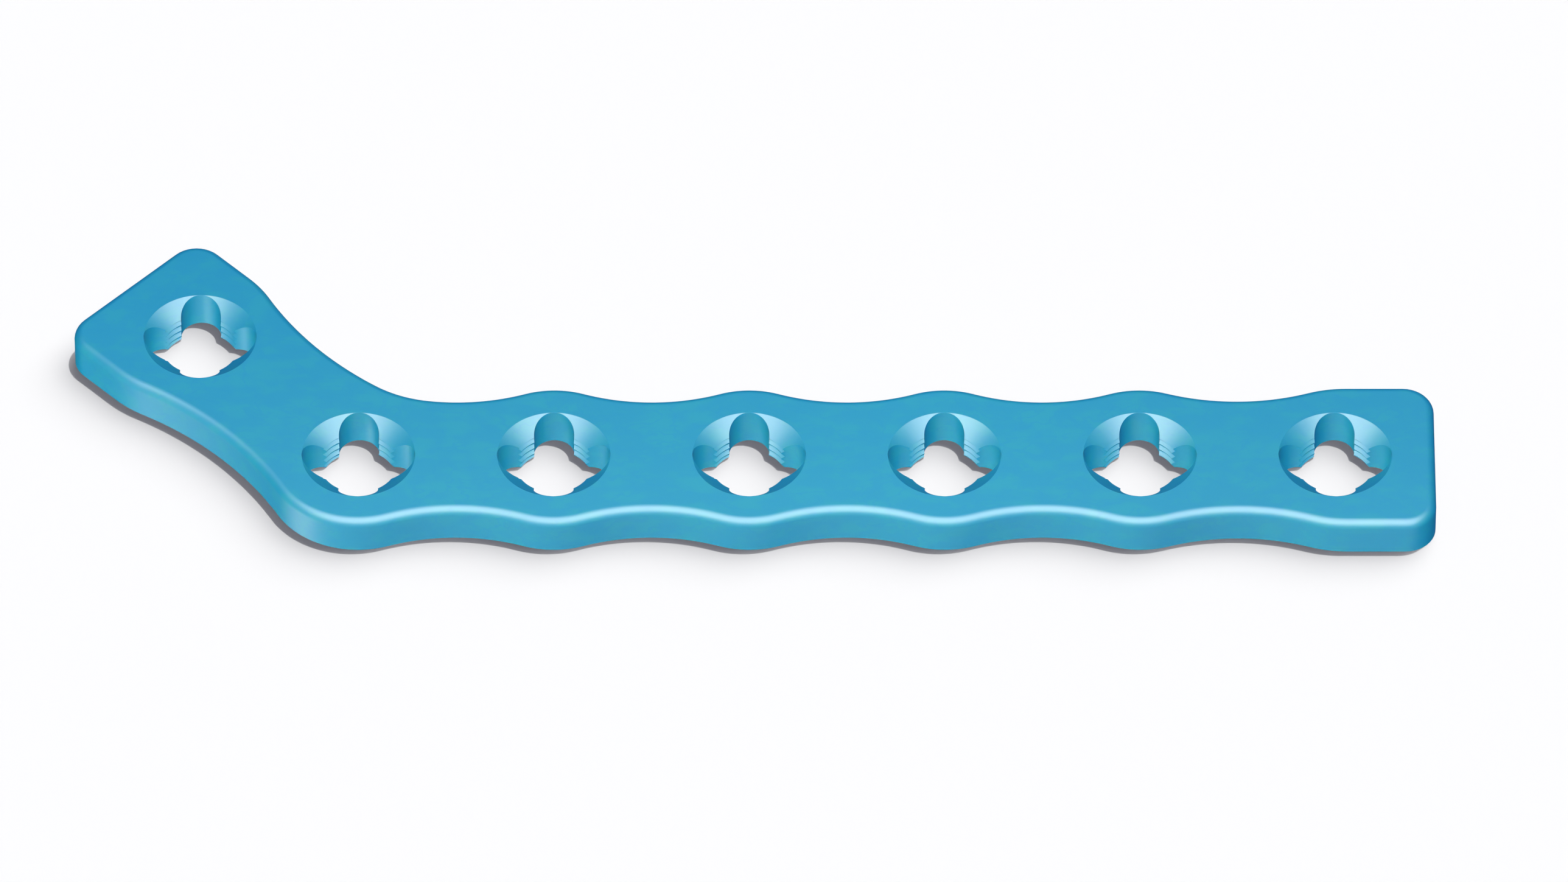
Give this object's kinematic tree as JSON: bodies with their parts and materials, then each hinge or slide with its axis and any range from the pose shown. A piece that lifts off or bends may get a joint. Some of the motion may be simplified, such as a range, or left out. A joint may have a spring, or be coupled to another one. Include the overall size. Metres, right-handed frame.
{
  "type": "orthopedic bone plate",
  "caption": "Flat oblique L-shaped bone plate with scalloped sides, a rounded top edge and a row of countersunk cloverleaf locking holes.",
  "frame": {"origin": "the axis of the hole at the corner of shaft and arm, on the underside", "axes": "+X along the shaft to its square end, +Z out of the top face, the arm towards -X and +Y"},
  "size_m": [0.0838, 0.0235, 0.0025],
  "materials": {
    "anodised_titanium": "blue anodised, satin"
  },
  "bodies": {
    "root": {"bone_plate": "anodised_titanium"}
  },
  "joints": []
}
